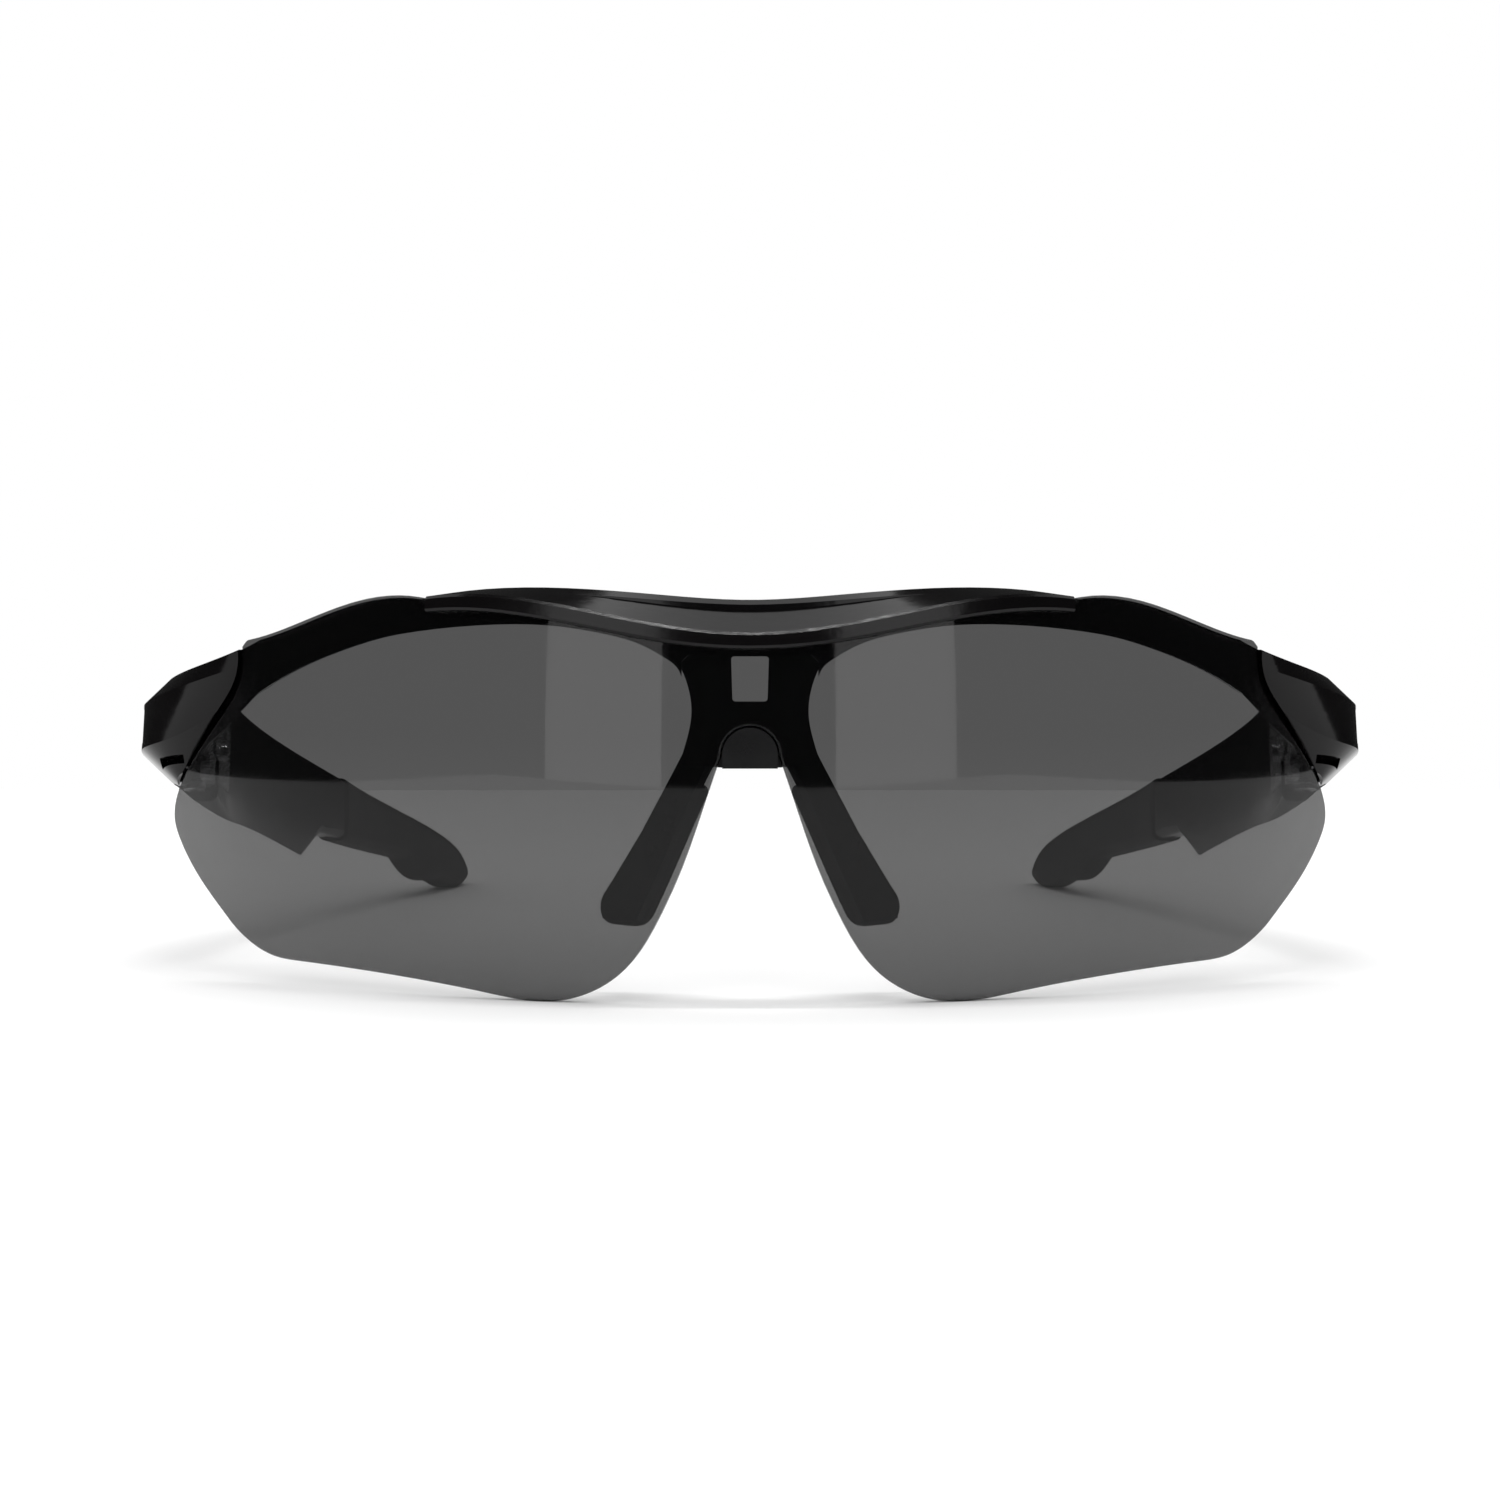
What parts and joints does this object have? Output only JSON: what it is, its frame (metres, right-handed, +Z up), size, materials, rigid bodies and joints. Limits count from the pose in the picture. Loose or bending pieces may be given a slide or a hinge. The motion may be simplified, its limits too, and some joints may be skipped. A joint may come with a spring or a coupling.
{
  "type": "wraparound sport sunglasses",
  "caption": "Half-rim wraparound sunglasses with a one-piece smoked shield lens, a nose bridge with soft pads and folding temples with soft tips.",
  "frame": {"origin": "middle of the footprint at table height, with the glasses resting on the shield's lower edge and the temple tips, temples open", "axes": "+X is the wearer's left, +Y points back along the temples, +Z is up; the shield faces -Y"},
  "size_m": [0.1436, 0.1506, 0.0449],
  "materials": {
    "lens_smoke": "polished smoked polycarbonate, grey",
    "frame_gloss": "gloss black nylon",
    "bridge_satin": "satin black nylon",
    "pad_rubber": "matt black elastomer",
    "temple_gloss": "gloss black nylon",
    "tip_rubber": "matt black elastomer",
    "inlay_satin": "satin dark grey",
    "hinge_steel": "dark nickel",
    "screw_steel": "bright nickel"
  },
  "bodies": {
    "front": {"brow_frame": "frame_gloss", "shield_lens": "lens_smoke", "nose_bridge": "bridge_satin", "nose_pad_left": "pad_rubber", "nose_pad_right": "pad_rubber", "endpiece_left": "frame_gloss", "endpiece_right": "frame_gloss", "front_hinge_left": "hinge_steel", "front_hinge_right": "hinge_steel", "hinge_screw_left": "screw_steel", "hinge_screw_right": "screw_steel", "front_leaf_screws": "screw_steel"},
    "temple_left_arm": {"temple_left": "temple_gloss", "temple_tip_left": "tip_rubber", "side_inlay_left": "inlay_satin", "temple_hinge_left": "hinge_steel", "temple_leaf_screw_left": "screw_steel"},
    "temple_right_arm": {"temple_right": "temple_gloss", "temple_tip_right": "tip_rubber", "side_inlay_right": "inlay_satin", "temple_hinge_right": "hinge_steel", "temple_leaf_screw_right": "screw_steel"}
  },
  "joints": [
    {"name": "left_temple_fold", "type": "hinge", "parent": "front", "child": "temple_left_arm", "pos_m": [0.0656, -0.03254, 0.0266], "axis": [0, 0.259, 0.9659], "range_deg": [0, 84]},
    {"name": "right_temple_fold", "type": "hinge", "parent": "front", "child": "temple_right_arm", "pos_m": [-0.0656, -0.03254, 0.0266], "axis": [0, -0.259, -0.9659], "range_deg": [0, 72]}
  ]
}
